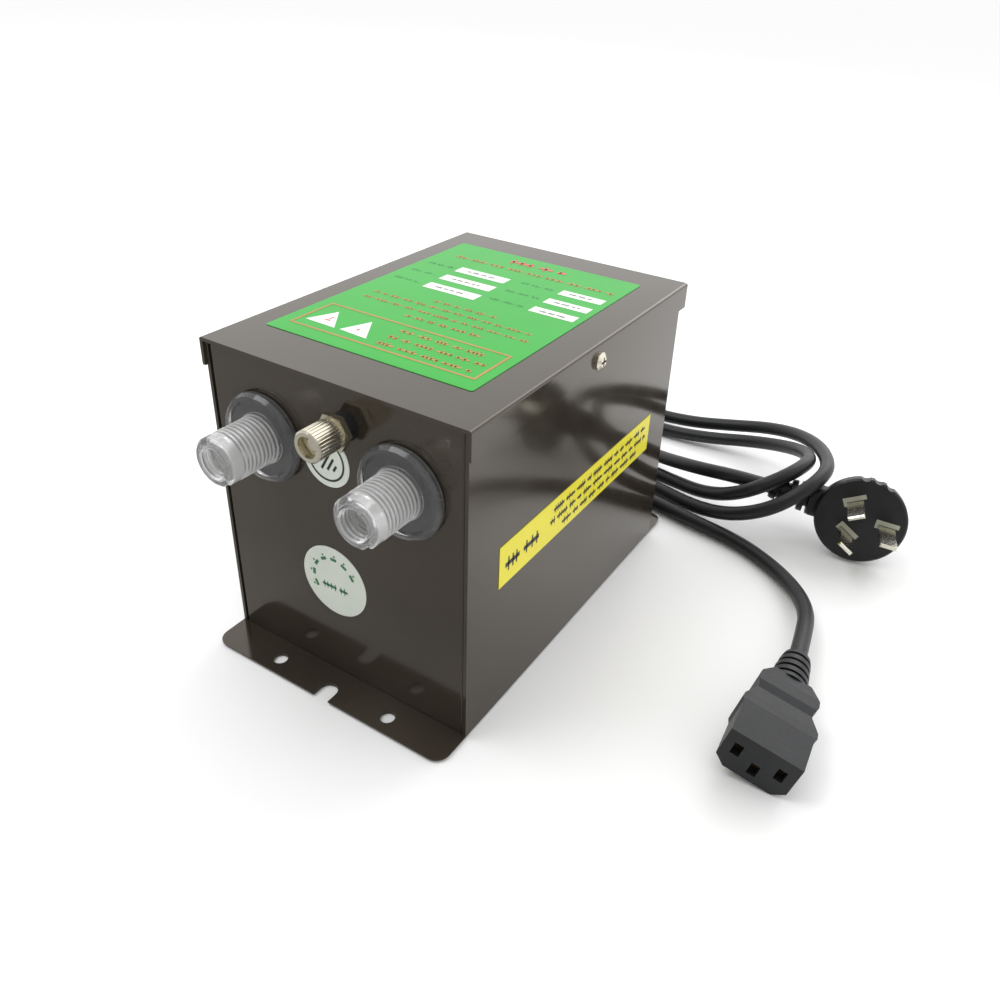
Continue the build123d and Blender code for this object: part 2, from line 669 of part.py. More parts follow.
def make_foot_nuts():
    """Nuts that hold the bracket's feet down."""
    shapes = []
    seat = SHEET + SHIM + BRACKET
    for x, y in BRACKET_FEET:
        shapes.append(hex_z(7.0, seat, seat + 3.2, x, y) - rod_z(2.02, 0, seat + 5, x, y))
    return Compound(children=shapes)


# ---- wiring ----------------------------------------------------------------
WIRE_R = 1.1
HV_R = 1.9


def make_chassis_stud():
    """Earth stud pressed into the base."""
    return rod_z(2.08, 0.1, SHEET, *CHASSIS_STUD) + rod_z(2.0, SHEET, SHEET + 9.0, *CHASSIS_STUD)


def make_chassis_nut():
    """Nut that clamps both earth lugs on the stud."""
    nut = hex_z(7.0, SHEET + 2.0, SHEET + 5.2, *CHASSIS_STUD)
    return nut - rod_z(2.02, SHEET, SHEET + 6, *CHASSIS_STUD)


LUG_REACH = 12.0               # stud centre to the wire end of a lug barrel
LUG_TURNS = (215.0, -60.0)     # degrees, the way each stacked lug points


def lug_end(turn, level, reach):
    """Point on the barrel axis of a lug, at a reach from the stud."""
    angle = math.radians(turn)
    x = CHASSIS_STUD[0] + reach * math.cos(angle)
    y = CHASSIS_STUD[1] + reach * math.sin(angle)
    return (x, y, SHEET + level + 2.4)


def make_chassis_lugs():
    """Two ring lugs, one over the other, each with its crimp barrel."""
    shapes = []
    for level, turn in enumerate(LUG_TURNS):
        low = SHEET + level
        ring = rod_z(4.0, low, low + 1.0, 0, 0) + block(0, 7.6, -1.5, 1.5, low, low + 1.0)
        ring += block(6.8, 7.6, -1.5, 1.5, low, low + 3.6)
        ring += rod_x(1.6, 7.2, LUG_REACH, 0, low + 2.4)
        ring -= rod_z(2.1, low - 1, low + 2, 0, 0)
        shapes.append(Pos(*CHASSIS_STUD, 0) * Rot(0, 0, turn) * ring)
    return Compound(children=shapes)


def terminal_block():
    """Two-way mains terminal block behind the transformer."""
    shape = block(-12.0, 12.0, 47.0, 59.0, SHEET, SHEET + 13.0)
    for x in (-6.0, 6.0):
        shape -= rod_z(2.4, SHEET + 6.0, SHEET + 14, x, 53.0)
        shape -= rod_y(1.9, 46, 60, x, SHEET + 4.0)
    return shape


def terminal_screws():
    """Clamping screws in the terminal block."""
    shapes = []
    for x in (-6.0, 6.0):
        screw = rod_z(2.3, SHEET + 6.2, SHEET + 11.0, x, 53.0)
        shapes.append(screw - block(x - 2.6, x + 2.6, 52.6, 53.4, SHEET + 10.0, SHEET + 12.0))
    return Compound(children=shapes)


def make_wires():
    """Fixed wires inside the box, each along its real route."""
    tail = PANEL_Y - 27.0
    live_x, live_z = INLET_PINS[0]
    neutral_x, neutral_z = INLET_PINS[1]
    ground_x, ground_z = INLET_PINS[2]
    back = PANEL_Y - 23.0
    coil_y = CORE_Y + STACK / 2 + 11.0
    lug_rear = [lug_end(LUG_TURNS[0], 0, reach) for reach in (18.0, LUG_REACH)]
    lug_front = [lug_end(LUG_TURNS[1], 1, reach) for reach in (18.0, LUG_REACH)]
    lug_y = -PANEL_Y + SHEET + 2.5
    routes = {
        "switch_feed_wire": [(live_x, tail, live_z), (live_x, tail - 6, live_z), (live_x + 4, tail - 8, 74),
                             (SWITCH_X - 8, tail - 7, 78), (SWITCH_X, back - 8, SWITCH_Z + 9),
                             (SWITCH_X, back - 5, SWITCH_Z + 4.5), (SWITCH_X, back, SWITCH_Z + 4.5)],
        "switched_live_wire": [(SWITCH_X, back, SWITCH_Z - 4.5), (SWITCH_X, back - 6, SWITCH_Z - 4.5),
                               (19, 36, 34), (9, 35, 14), (6, 38.5, SHEET + 4.0), (6, 47, SHEET + 4.0)],
        "neutral_wire": [(neutral_x, tail, neutral_z), (neutral_x, tail - 6, neutral_z), (-10, 32, 32),
                         (-7, 34, 13), (-6, 38.5, SHEET + 4.0), (-6, 47, SHEET + 4.0)],
        "earth_inlet_wire": [(ground_x, tail, ground_z), (ground_x, tail - 4, ground_z), (-17, 35, 26),
                             (-20.5, 44, 9), (-18.5, 60, 4.6), (-6, 64.3, 4.2), (9, 64, 4.2),
                             (17.5, 54, 3.8), ()],
        "earth_front_wire": [(EARTH_X, lug_y, EARTH_Z - 15.0), (EARTH_X, lug_y, 74), (20, -58, 60),
                             (38, -50, 40), (42.6, -32, 16), (43.4, -4, 8), (43.4, 20, 6.5)],
    }
    routes["earth_inlet_wire"][-1:] = lug_rear
    routes["earth_front_wire"] += lug_front
    wires = {name: tube(points, WIRE_R)[0] for name, points in routes.items()}
    exit_y = CORE_Y - STACK / 2 - 11.4
    for name, side in (("high_voltage_lead_left", -1), ("high_voltage_lead_right", 1)):
        points = [(side * 8, exit_y, 48), (side * 8, exit_y - 5, 48), (side * 13, -38, 60),
                  (side * 22, -38.5, 74), (side * OUTLET_X, -39.5, OUTLET_Z),
                  (side * OUTLET_X, -PANEL_Y + 20.0, OUTLET_Z)]
        wires[name] = tube(points, HV_R)[0]
    return wires


# ---- mains lead ------------------------------------------------------------
CORD_ROUTE = [
    (125.5, 29, 11.2), (122.5, 45, 8.0), (114.5, 60, 4.6), (101.5, 71.5, 3.2), (83, 80, 3.2), (60, 83, 3.2),
    (37, 88.0, 3.2), (4, 90, 3.2), (-34, 88, 3.2), (-66, 86.5, 3.2), (-94, 96, 3.2), (-112, 118, 3.2),
    (-112, 146, 3.2), (-96, 169, 3.2), (-70, 181, 3.2), (-42, 180, 3.2), (-16, 170, 3.2), (8, 162.5, 4.2),
    (30, 161, 7.0), (50, 162.5, 11), (68, 161.5, 16), (84, 153, 21.5), (97, 138, 26.5), (105, 121, 29.6),
    (107.3, 107.5, 31.0), (103.5, 94.5, 28.2), (92.5, 85.5, 19.2), (76.5, 85.5, 10.4), (59, 91, 5.0),
    (40, 97.5, 3.4), (16, 102.5, 3.2), (-10, 101, 3.2), (-38, 97, 3.2), (-66, 97.5, 3.2), (-90, 110, 3.2),
    (-100, 134, 3.2), (-89, 157, 3.2), (-66, 169, 3.2), (-42, 168.5, 3.2), (-18, 158.5, 3.2), (4, 151.5, 3.2),
    (24, 151, 3.6), (43, 153.5, 5.4), (60, 154.5, 9.2), (76, 149, 15), (89, 138.5, 21.5), (97, 124, 27.4),
    (98.2, 109, 31.0), (91.3, 96.3, 27.8), (77.3, 91.3, 18.2), (61, 98, 8.8), (41, 107.5, 3.8),
    (14, 112.5, 3.2), (-14, 110, 3.2), (-41, 106, 3.2), (-66, 107.5, 3.2), (-84, 119.5, 3.2), (-87.3, 140, 3.2),
    (-74.5, 155.5, 3.2), (-49.5, 159, 3.2), (-25, 148.5, 3.2), (-5, 137.5, 3.2), (13, 126.5, 4.0),
    (29, 116.5, 8.4), (43.5, 107.5, 14.0), (58.5, 101, 18.8),
]


def tilted(origin, forward, across, roll):
    """Plane with Z along forward and X across, turned about Z by roll degrees."""
    lift = across.cross(forward)
    turn = math.radians(roll)
    return Plane(origin=origin, x_dir=across * math.cos(turn) + lift * math.sin(turn), z_dir=forward)


def connector_frame():
    """Plane at the connector's nose: Z points back along the cord, X across, Y down."""
    yaw = math.radians(CONNECTOR_YAW)
    pitch = math.radians(CONNECTOR_PITCH)
    level = math.cos(pitch)
    back = Vector(-math.sin(yaw) * level, math.cos(yaw) * level, math.sin(pitch))
    return tilted(CONNECTOR_NOSE, back, Vector(math.cos(yaw), math.sin(yaw), 0), CONNECTOR_ROLL)


def plug_frame():
    """Plane on the plug's face: Z points out of the face, X towards the earth blade, Y up."""
    yaw = math.radians(PLUG_YAW)
    pitch = math.radians(PLUG_PITCH)
    level = math.cos(pitch)
    outward = Vector(math.sin(yaw) * level, -math.cos(yaw) * level, math.sin(pitch))
    return tilted(PLUG_CENTRE, outward, Vector(math.cos(yaw), math.sin(yaw), 0), -PLUG_ROLL)


CONTACT_SPOTS = ((-7.0, -1.2), (7.0, -1.2), (0.0, 2.8))
PLUG_AXIS = -9.0               # cord axis behind the plug's face
PLUG_RELIEF = 37.5             # plug centre to the end of its strain relief
BLADES = ((-3.96, 6.86, 30.0, 16.5), (-3.96, -6.86, -30.0, 16.5), (10.3, 0.0, 0.0, 19.0))


def relief_profile(start, end, wide, narrow, grooves):
    """Half section of a ribbed strain relief that tapers towards the cord."""
    points = [(0, start), (wide, start)]
    step = (end - start) / (grooves + 0.6)
    for groove in range(grooves):
        share = (groove + 1) / (grooves + 1)
        outer = wide + (narrow - wide) * share
        at = start + (groove + 0.62) * step
        points.append((outer + 0.3, at - 0.16 * step))
        points.append((CORD_R + 0.9, at - 0.1 * step))
        points.append((CORD_R + 0.9, at + 0.2 * step))
        points.append((outer, at + 0.26 * step))
    points += [(narrow, end - 0.6), (narrow - 0.5, end), (0, end)]
    return points


def revolved(profile):
    """Solid of revolution about Z from (radius, z) points."""
    face = make_face(Polyline(*[(radius, 0, at) for radius, at in profile], close=True))
    return revolve(face, axis=Axis.Z)


def make_lead_connector():
    """Appliance connector: square nose, winged grip and ribbed relief."""
    half = [(11.5, 0), (11.5, 12.5), (12.2, 13.8), (12.0, 16), (9.1, 21.5), (9.1, 23), (10.1, 26.5),
            (9.8, 29), (6.2, 34.5)]
    outline = half + [(-x, z) for x, z in reversed(half)]
    plan = make_face(Polyline(*[(x, 0, z) for x, z in outline], close=True))
    body = extrude(plan, 8.2, dir=(0, 1, 0), both=True)
    rise = [(8.2, 0), (8.2, 13.5), (7.8, 17), (6.9, 22), (7.5, 25), (7.3, 29.5), (6.0, 34.5)]
    side = rise + [(-y, z) for y, z in reversed(rise)]
    profile = make_face(Polyline(*[(0, y, z) for y, z in side], close=True))
    body &= extrude(profile, 16, dir=(1, 0, 0), both=True)
    for hand in (-1, 1):
        cut = [(hand * 7.8, 8.3, 0), (hand * 15, 8.3, 0), (hand * 15, 1.2, 0)]
        corner = make_face(Polyline(*cut, close=True))
        body -= Pos(0, 0, -1) * extrude(corner, 22)
    for x, y in CONTACT_SPOTS:
        body -= Pos(x, y, 9.0) * Box(2.9, 5.0, 18.0)
    body += revolved(relief_profile(34.0, CONNECTOR_LENGTH, 6.8, 4.6, 4))
    return connector_frame() * body


def make_connector_contacts():
    """Three sleeves that grip the inlet's pins."""
    sleeves = []
    for x, y in CONTACT_SPOTS:
        sleeve = Pos(x, y, 10.5) * (Box(2.8, 4.9, 14.0) - Pos(0, 0, -1) * Box(2.1, 4.15, 14.0))
        sleeves.append(connector_frame() * sleeve)
    return Compound(children=sleeves)


def make_lead_plug():
    """Round moulded plug with a side entry and a ribbed relief."""
    disc = revolved([(0, 0), (PLUG_R - 0.7, 0), (PLUG_R, -0.7), (PLUG_R, -3.9), (PLUG_R - 0.8, -4.6),
                     (PLUG_R - 3.2, -6.5), (PLUG_R - 5.2, -10.5), (PLUG_R - 8.0, -15.0),
                     (PLUG_R - 11.5, -17.6),
                     (0, -18.2)])
    neck = Pos(-14.5, 0, PLUG_AXIS) * Box(11.5, 12.6, 12.6)
    neck = fillet(neck.edges().filter_by(Axis.X), 4.0)
    relief = revolved(relief_profile(19.5, PLUG_RELIEF, 6.8, 4.6, 4))
    body = disc + neck + Pos(0, 0, PLUG_AXIS) * Rot(0, -90, 0) * relief
    for x, y, slant, _ in BLADES:
        body -= Pos(x, y, -3.0) * Rot(0, 0, slant) * Box(6.4, 1.6, 6.0)
    for angle in (68, 84, 100):
        body -= Rot(0, 0, angle) * Pos(PLUG_R + 1.3, 0, -2.4) * Cylinder(2.2, 5.0)
    return plug_frame() * body


def make_plug_blades():
    """Two slanted blades and the longer earth blade."""
    blades = []
    for x, y, slant, length in BLADES:
        blade = Pos(x, y, (length - 6.0) / 2) * Rot(0, 0, slant) * Box(6.4, 1.6, length + 6.0)
        tips = blade.edges().group_by(Axis.Z)[-1]
        blades.append(plug_frame() * chamfer(tips, 0.5))
    return Compound(children=blades)


def cord_points():
    """Whole route of the cord, leaving each relief along its own axis."""
    start = connector_frame()
    end = plug_frame()
    first = [(start * Pos(0, 0, reach)).position for reach in (CONNECTOR_LENGTH,)]
    last = [(end * Pos(-reach, 0, PLUG_AXIS)).position for reach in (PLUG_RELIEF + 13.0, PLUG_RELIEF)]
    return [tuple(point) for point in first] + CORD_ROUTE + [tuple(point) for point in last]


def make_cord():
    """Mains cord as straight runs joined by tangent arcs, with its radii printed."""
    cord, path, radii = tube(cord_points(), CORD_R)
    section = math.pi * CORD_R ** 2
    print("cord radii", [round(radius, 1) for radius in radii])
    print("cord length", round(path.length, 1),
          "volume ratio", round(cord.volume / (section * path.length), 4))
    return cord


def main():
    """Build every sub-part."""
    save(make_chassis(), "chassis")
    save(make_front_panel(), "front_panel")
    save(make_rear_panel(), "rear_panel")
    save(make_lid(), "lid")
    save(make_lid_screws(), "lid_screws")
    save(make_rivet_nuts(), "lid_rivet_nuts")
    save(make_outlet(-OUTLET_X), "outlet_left")
    save(make_outlet(OUTLET_X), "outlet_right")
    save(make_outlet_washers(), "outlet_washers")
    save(make_outlet_nuts(), "outlet_lock_nuts")
    save(make_outlet_contacts(), "outlet_contacts")
    save(make_earth_stud(), "earth_stud")
    save(make_earth_insulator(), "earth_insulator")
    save(make_earth_hex(), "earth_seat_nut")
    save(make_earth_washer(), "earth_clamp_washer")
    save(make_thumb_nut(), "earth_thumb_nut")
    save(make_earth_inner_nut(), "earth_inner_nut")
    save(make_earth_lug(), "earth_lug")
    save(make_top_label(), "top_label")
    save(make_side_label(), "side_label")
    save(round_label(9.0, -2.2, OUTLET_Z - 0.2), "earth_label")
    save(round_label(13.0, -2.6, 39.2), "round_label")
    save(make_inlet_housing(), "inlet_housing")
    save(make_inlet_pins(), "inlet_pins")
    save(make_inlet_screws(), "inlet_screws")
    save(make_inlet_nuts(), "inlet_nuts")
    save(make_fuse_drawer(), "fuse_drawer")
    fuse_glass, fuse_caps = make_fuse()
    save(fuse_glass, "fuse_tube")
    save(fuse_caps, "fuse_caps")
    save(make_switch_housing(), "switch_housing")
    save(make_rocker(), "switch_rocker")
    save(make_switch_terminals(), "switch_terminals")
    save(make_core(), "transformer_core")
    save(make_bobbin(), "transformer_former")
    save(make_primary(), "primary_winding")
    save(make_secondary(), "secondary_winding")
    save(make_bracket(), "transformer_bracket")
    save(make_core_bolts(), "core_bolts")
    save(make_core_nuts(), "core_nuts")
    save(make_foot_screws(), "bracket_screws")
    save(make_foot_nuts(), "bracket_nuts")
    save(make_insulating_sheet(), "insulating_sheet")
    save(terminal_block(), "terminal_block")
    save(terminal_screws(), "terminal_screws")
    save(make_chassis_stud(), "chassis_earth_stud")
    save(make_chassis_nut(), "chassis_earth_nut")
    save(make_chassis_lugs(), "chassis_earth_lugs")
    for name, shape in make_wires().items():
        save(shape, name)
    save(make_lead_connector(), "lead_connector")
    save(make_connector_contacts(), "connector_contacts")
    save(make_lead_plug(), "lead_plug")
    save(make_plug_blades(), "plug_blades")
    save(make_cord(), "mains_cord")


main()
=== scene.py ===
"""High-voltage supply box with clear outlets, earth post and coiled mains lead: looks, light and camera."""
import math
import random

import bpy
from mathutils import Matrix, Vector


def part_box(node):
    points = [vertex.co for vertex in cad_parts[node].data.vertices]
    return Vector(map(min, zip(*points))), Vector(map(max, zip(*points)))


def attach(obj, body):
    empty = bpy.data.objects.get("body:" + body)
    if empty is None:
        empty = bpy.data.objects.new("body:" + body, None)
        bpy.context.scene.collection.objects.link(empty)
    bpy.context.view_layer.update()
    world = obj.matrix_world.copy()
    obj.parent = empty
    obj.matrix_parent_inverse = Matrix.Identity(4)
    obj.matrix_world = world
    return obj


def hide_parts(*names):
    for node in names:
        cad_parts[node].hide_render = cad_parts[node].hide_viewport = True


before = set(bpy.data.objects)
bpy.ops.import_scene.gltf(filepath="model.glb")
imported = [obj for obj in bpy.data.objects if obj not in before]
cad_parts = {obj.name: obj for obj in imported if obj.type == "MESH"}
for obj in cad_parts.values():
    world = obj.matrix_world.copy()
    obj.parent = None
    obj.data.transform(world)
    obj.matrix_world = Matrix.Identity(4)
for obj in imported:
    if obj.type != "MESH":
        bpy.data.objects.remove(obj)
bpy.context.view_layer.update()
ROOT = "enclosure"
MM = 0.001
OUTLET_SIDE = 26.5             # millimetres from the middle of the box to an outlet's axis
OUTLET_HEIGHT = 84.6


# ---- camera ------------------------------------------------------------------
def make_camera():
    """Camera at the viewing angle of the catalogue picture."""
    azimuth, elevation, roll = (math.radians(a) for a in (30.61, 29.70, 2.75))
    towards = Vector((math.cos(elevation) * math.sin(azimuth),
                      -math.cos(elevation) * math.cos(azimuth), math.sin(elevation)))
    right = (-towards).cross(Vector((0, 0, 1))).normalized()
    up = right.cross(-towards)
    right_rolled = right * math.cos(roll) + up * math.sin(roll)
    up_rolled = up * math.cos(roll) - right * math.sin(roll)
    data = bpy.data.cameras.new("camera")
    camera = bpy.data.objects.new("camera", data)
    bpy.context.scene.collection.objects.link(camera)
    matrix = Matrix((right_rolled, up_rolled, towards)).transposed().to_4x4()
    matrix.translation = Vector((0.16103, -0.23073, 0.22126))
    camera.matrix_world = matrix
    data.sensor_width = 36.0
    data.lens = 36.0 * 0.8932
    data.shift_x = -0.0235
    data.shift_y = -0.0586
    data.clip_start = 0.01
    bpy.context.scene.camera = camera


make_camera()


# ---- material helpers --------------------------------------------------------
def material(name):
    """New node material; returns it with its tree and its Principled shader."""
    mat = bpy.data.materials.new(name)
    mat.use_nodes = True
    tree = mat.node_tree
    return mat, tree, tree.nodes["Principled BSDF"]


def noise(tree, scale, detail=3.0, roughness=0.5, space=None):
    """Noise texture in object coordinates."""
    coords = tree.nodes.new("ShaderNodeTexCoord")
    node = tree.nodes.new("ShaderNodeTexNoise")
    node.inputs["Scale"].default_value = scale
    node.inputs["Detail"].default_value = detail
    node.inputs["Roughness"].default_value = roughness
    if space is None:
        tree.links.new(coords.outputs["Object"], node.inputs["Vector"])
    else:
        mapping = tree.nodes.new("ShaderNodeMapping")
        mapping.inputs["Scale"].default_value = space
        tree.links.new(coords.outputs["Object"], mapping.inputs["Vector"])
        tree.links.new(mapping.outputs["Vector"], node.inputs["Vector"])
    return node


def ramp(tree, source, low, high, start=0.3, end=0.7):
    """Colour ramp between two colours or grey levels."""
    node = tree.nodes.new("ShaderNodeValToRGB")
    node.color_ramp.elements[0].position = start
    node.color_ramp.elements[1].position = end
    as_colour = [(c, c, c, 1) if isinstance(c, (int, float)) else (*c, 1) for c in (low, high)]
    node.color_ramp.elements[0].color = as_colour[0]
    node.color_ramp.elements[1].color = as_colour[1]
    tree.links.new(source, node.inputs["Fac"])
    return node


def position_parts(tree):
    """X, Y and Z of the shaded point."""
    spot = tree.nodes.new("ShaderNodeNewGeometry")
    split = tree.nodes.new("ShaderNodeSeparateXYZ")
    tree.links.new(spot.outputs["Position"], split.inputs["Vector"])
    return split


def stops(tree, source, pairs):
    """Grey ramp with several stops, each a position and a level."""
    node = tree.nodes.new("ShaderNodeValToRGB")
    steps = node.color_ramp.elements
    while len(steps) < len(pairs):
        steps.new(1.0)
    for step, (position, level) in zip(steps, pairs):
        step.position = position
        step.color = (level, level, level, 1)
    tree.links.new(source, node.inputs["Fac"])
    return node


def add_bump(tree, shader, height, distance, strength=1.0):
    """Bump from a height output, distance in metres."""
    bump = tree.nodes.new("ShaderNodeBump")
    bump.inputs["Distance"].default_value = distance
    bump.inputs["Strength"].default_value = strength
    tree.links.new(height, bump.inputs["Height"])
    tree.links.new(bump.outputs["Normal"], shader.inputs["Normal"])
    return bump


def surface(name, low, high, rough=(0.35, 0.5), grain=900.0, bump=0.00002, metal=0.0, coat=0.0, spec=0.5,
            coat_rough=0.05, space=None, patches=60.0):
    """General surface: two close tones, varied roughness and fine bump."""
    mat, tree, shader = material(name)
    broad = noise(tree, patches, 4.0)
    fine = noise(tree, grain, 3.0, 0.6, space)
    colours = ramp(tree, broad.outputs["Fac"], low, high)
    gloss = ramp(tree, fine.outputs["Fac"], rough[0], rough[1])
    tree.links.new(colours.outputs["Color"], shader.inputs["Base Color"])
    tree.links.new(gloss.outputs["Color"], shader.inputs["Roughness"])
    shader.inputs["Metallic"].default_value = metal
    shader.inputs["Coat Weight"].default_value = coat
    shader.inputs["Coat Roughness"].default_value = coat_rough
    shader.inputs["Specular IOR Level"].default_value = spec
    add_bump(tree, shader, fine.outputs["Fac"], bump)
    return mat


def paint():
    """Gloss bronze-brown enamel with a slight orange peel and a few dust nibs."""
    mat, tree, shader = material("bronze enamel")
    broad = noise(tree, 35.0, 4.0)
    peel = noise(tree, 420.0, 2.0, 0.4)
    nibs = noise(tree, 2600.0, 2.0, 0.5)
    colours = ramp(tree, broad.outputs["Fac"], (0.027, 0.0215, 0.0155), (0.033, 0.0265, 0.0195))
    gloss = ramp(tree, broad.outputs["Fac"], 0.10, 0.16)
    tree.links.new(colours.outputs["Color"], shader.inputs["Base Color"])
    tree.links.new(gloss.outputs["Color"], shader.inputs["Roughness"])
    shader.inputs["IOR"].default_value = 1.62
    shader.inputs["Specular Tint"].default_value = (1.0, 0.90, 0.76, 1)
    shader.inputs["Coat Weight"].default_value = 0.06
    shader.inputs["Coat Roughness"].default_value = 0.04
    add = tree.nodes.new("ShaderNodeMath")
    add.operation = "MULTIPLY_ADD"
    add.inputs[1].default_value = 0.12
    tree.links.new(nibs.outputs["Fac"], add.inputs[0])
    tree.links.new(peel.outputs["Fac"], add.inputs[2])
    add_bump(tree, shader, add.outputs[0], 0.000012, 0.5)
    return mat


def clear(name, haze, tint=(0.96, 0.975, 0.97), rough=0.03, ior=1.49):
    """Clear moulded plastic with a little haze and flow marks."""
    mat, tree, shader = material(name)
    flow = noise(tree, 240.0, 2.0, 0.5)
    colours = ramp(tree, flow.outputs["Fac"], tuple(0.985 * c for c in tint), tint)
    tree.links.new(colours.outputs["Color"], shader.inputs["Base Color"])
    gloss = ramp(tree, flow.outputs["Fac"], rough, rough + 0.05)
    tree.links.new(gloss.outputs["Color"], shader.inputs["Roughness"])
    shader.inputs["Transmission Weight"].default_value = 1.0 - haze
    shader.inputs["IOR"].default_value = ior
    add_bump(tree, shader, flow.outputs["Fac"], 0.00003, 0.4)
    return mat


def outlet_plastic():
    """Clear outlet plastic with a little milky haze; painted highlights: whiter, hazier rings about 5 mm and
    8 mm from each outlet's axis stand for the white light the thread crests catch, grooves and flange stay
    clear.
    """
    mat, tree, shader = material("clear acrylic")
    split = position_parts(tree)
    side = tree.nodes.new("ShaderNodeMath")
    side.operation = "ABSOLUTE"
    tree.links.new(split.outputs["X"], side.inputs[0])
    flat = tree.nodes.new("ShaderNodeCombineXYZ")
    tree.links.new(side.outputs[0], flat.inputs["X"])
    tree.links.new(split.outputs["Z"], flat.inputs["Z"])
    reach = tree.nodes.new("ShaderNodeVectorMath")
    reach.operation = "DISTANCE"
    reach.inputs[1].default_value = (OUTLET_SIDE * MM, 0.0, OUTLET_HEIGHT * MM)
    tree.links.new(flat.outputs["Vector"], reach.inputs[0])
    span = tree.nodes.new("ShaderNodeMapRange")
    span.inputs["From Min"].default_value = 0.0050
    span.inputs["From Max"].default_value = 0.0100
    tree.links.new(reach.outputs["Value"], span.inputs["Value"])
    # painted highlight: haze rises to 0.30 at the bore's thread crests (about 5 mm from the axis) and to 0.42
    # in a ring about 8 mm out, where the tone is also brightest; the low haze of 0.08 to 0.12 elsewhere is
    # the plastic's own
    haze = stops(tree, span.outputs["Result"],
                 ((0.0, 0.30), (0.10, 0.12), (0.44, 0.12), (0.60, 0.42), (0.70, 0.08)))
    tone = stops(tree, span.outputs["Result"], ((0.0, 0.86), (0.40, 0.80), (0.60, 1.0), (0.70, 0.95)))
    clearness = tree.nodes.new("ShaderNodeMath")
    clearness.operation = "SUBTRACT"
    clearness.inputs[0].default_value = 1.0
    tree.links.new(haze.outputs["Color"], clearness.inputs[1])
    tree.links.new(clearness.outputs[0], shader.inputs["Transmission Weight"])
    tree.links.new(tone.outputs["Color"], shader.inputs["Base Color"])
    flow = noise(tree, 240.0, 2.0, 0.5)
    gloss = ramp(tree, flow.outputs["Fac"], 0.02, 0.07)
    tree.links.new(gloss.outputs["Color"], shader.inputs["Roughness"])
    shader.inputs["IOR"].default_value = 1.49
    add_bump(tree, shader, flow.outputs["Fac"], 0.00003, 0.4)
    return mat


def laminations():
    """Varnished core steel with its thin sheets as fine lines along the stack."""
    mat, tree, shader = material("core laminations")
    coords = tree.nodes.new("ShaderNodeTexCoord")
    wave = tree.nodes.new("ShaderNodeTexWave")
    wave.bands_direction = "Y"
    wave.inputs["Scale"].default_value = 320.0
    wave.inputs["Distortion"].default_value = 0.4
    tree.links.new(coords.outputs["Object"], wave.inputs["Vector"])
    colours = ramp(tree, wave.outputs["Fac"], (0.03, 0.03, 0.035), (0.11, 0.11, 0.12))
    tree.links.new(colours.outputs["Color"], shader.inputs["Base Color"])
    shader.inputs["Roughness"].default_value = 0.42
    shader.inputs["Metallic"].default_value = 0.6
    add_bump(tree, shader, wave.outputs["Fac"], 0.0001)
    return mat


def winding(name, low, high, scale):
    """Wound wire or tape: fine bands along the height."""
    mat, tree, shader = material(name)
    coords = tree.nodes.new("ShaderNodeTexCoord")
    wave = tree.nodes.new("ShaderNodeTexWave")
    wave.bands_direction = "Z"
    wave.inputs["Scale"].default_value = scale
    wave.inputs["Distortion"].default_value = 0.6
    tree.links.new(coords.outputs["Object"], wave.inputs["Vector"])
    colours = ramp(tree, wave.outputs["Fac"], low, high)
    tree.links.new(colours.outputs["Color"], shader.inputs["Base Color"])
    shader.inputs["Roughness"].default_value = 0.35
    add_bump(tree, shader, wave.outputs["Fac"], 0.0002)
    return mat


PAINT = paint()
PLATED = surface("zinc plated steel", (0.55, 0.55, 0.53), (0.68, 0.67, 0.63), (0.22, 0.4), 1500.0,
                 0.00002, 1.0)
SCREW = surface("nickel screw", (0.62, 0.57, 0.47), (0.78, 0.73, 0.62), (0.14, 0.28), 1500.0, 0.00002, 1.0)
NICKEL = surface("nickel on brass", (0.58, 0.54, 0.43), (0.72, 0.68, 0.56), (0.16, 0.28), 1200.0,
                 0.00001, 1.0)
BRASS = surface("brass", (0.62, 0.43, 0.17), (0.76, 0.56, 0.26), (0.2, 0.35), 1200.0, 0.00001, 1.0)
BLADE = surface("plug blade", (0.62, 0.60, 0.50), (0.78, 0.76, 0.66), (0.16, 0.3), 1400.0, 0.00002, 1.0)
ACRYLIC = outlet_plastic()
GLASS = clear("fuse glass", 0.0, (0.98, 0.99, 0.99), 0.01, 1.5)
BLACK = surface("black moulding", (0.012, 0.012, 0.013), (0.022, 0.022, 0.024), (0.35, 0.5), 1800.0, 0.00003)
GLOSS_BLACK = surface("plug moulding", (0.006, 0.006, 0.007), (0.011, 0.011, 0.012), (0.30, 0.42), 1500.0,
                      0.00003, spec=0.3)
PAD = surface("blade shroud", (0.30, 0.30, 0.24), (0.36, 0.36, 0.29), (0.4, 0.5), 1500.0, 0.00002)
CONNECTOR = surface("connector moulding", (0.010, 0.0105, 0.012), (0.017, 0.018, 0.020), (0.38, 0.52),
                    1700.0, 0.00004, spec=0.4)
CORD = surface("cord sheath", (0.008, 0.0085, 0.009), (0.014, 0.0145, 0.016), (0.36, 0.48), 1300.0, 0.00004,
               spec=0.35)
GREEN = surface("green label", (0.018, 0.36, 0.028), (0.020, 0.38, 0.031), (0.30, 0.33), 900.0, 0.00001,
                spec=0.3)
YELLOW = surface("yellow label", (0.80, 0.71, 0.020), (0.82, 0.73, 0.022), (0.30, 0.33), 900.0, 0.000003,
                 coat=0.1)
WHITE = surface("white label", (0.76, 0.80, 0.72), (0.80, 0.83, 0.76), (0.34, 0.38), 900.0, 0.000005)
STICKER = surface("sticker paper", (0.60, 0.64, 0.56), (0.64, 0.68, 0.60), (0.34, 0.40), 900.0, 0.000005)
ORANGE_INK = surface("orange ink", (0.36, 0.20, 0.03), (0.42, 0.23, 0.04), (0.3, 0.4), 900.0, 0.000005)
